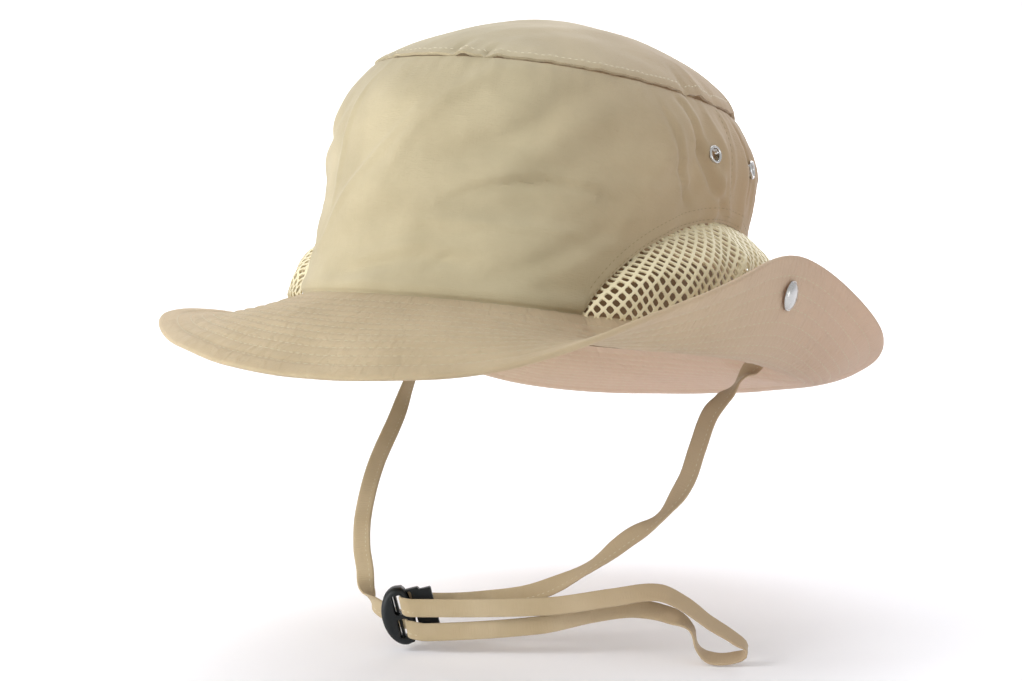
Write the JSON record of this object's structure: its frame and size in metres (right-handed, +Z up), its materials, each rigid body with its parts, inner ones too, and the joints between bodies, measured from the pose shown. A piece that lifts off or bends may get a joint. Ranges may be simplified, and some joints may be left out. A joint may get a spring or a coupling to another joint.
{
  "type": "soft sun hat",
  "caption": "Soft brimmed sun hat with a rounded crown, mesh side vents, small metal eyelets, a brim turned up at one side and a chin strap with a spring cord lock.",
  "frame": {"origin": "middle of the head opening, where the crown is sewn to the brim, with the hat pitched back 11.5 degrees as it is worn", "axes": "+Z up, -Y to the hat's front, +X to the wearer's left"},
  "size_m": [0.2808, 0.3284, 0.264],
  "materials": {
    "khaki_cloth": "matte woven cotton blend",
    "cream_net": "open knitted polyester net",
    "brown_band": "matte woven tape",
    "nickel_metal": "bright nickel plate",
    "khaki_tape": "folded and stitched cotton tape",
    "black_plastic": "satin moulded plastic"
  },
  "bodies": {
    "hat": {"brim": "khaki_cloth", "brim_snap_left": "nickel_metal", "brim_snap_right": "nickel_metal", "chin_strap": "khaki_tape", "crown_back": "khaki_cloth", "crown_front": "khaki_cloth", "crown_top": "khaki_cloth", "eyelet_left_back": "nickel_metal", "eyelet_left_front": "nickel_metal", "eyelet_right_back": "nickel_metal", "eyelet_right_front": "nickel_metal", "lock_body": "black_plastic", "sweatband": "brown_band", "vent_net_left": "cream_net", "vent_net_right": "cream_net"},
    "button": {"lock_button": "black_plastic"}
  },
  "joints": [
    {"name": "lock_button_press", "type": "slide", "parent": "hat", "child": "button", "axis": [-0.8193, -0.5199, -0.2419], "range_m": [0, 0.0036], "stiffness_N_per_m": 400, "springref_m": -0.004}
  ]
}
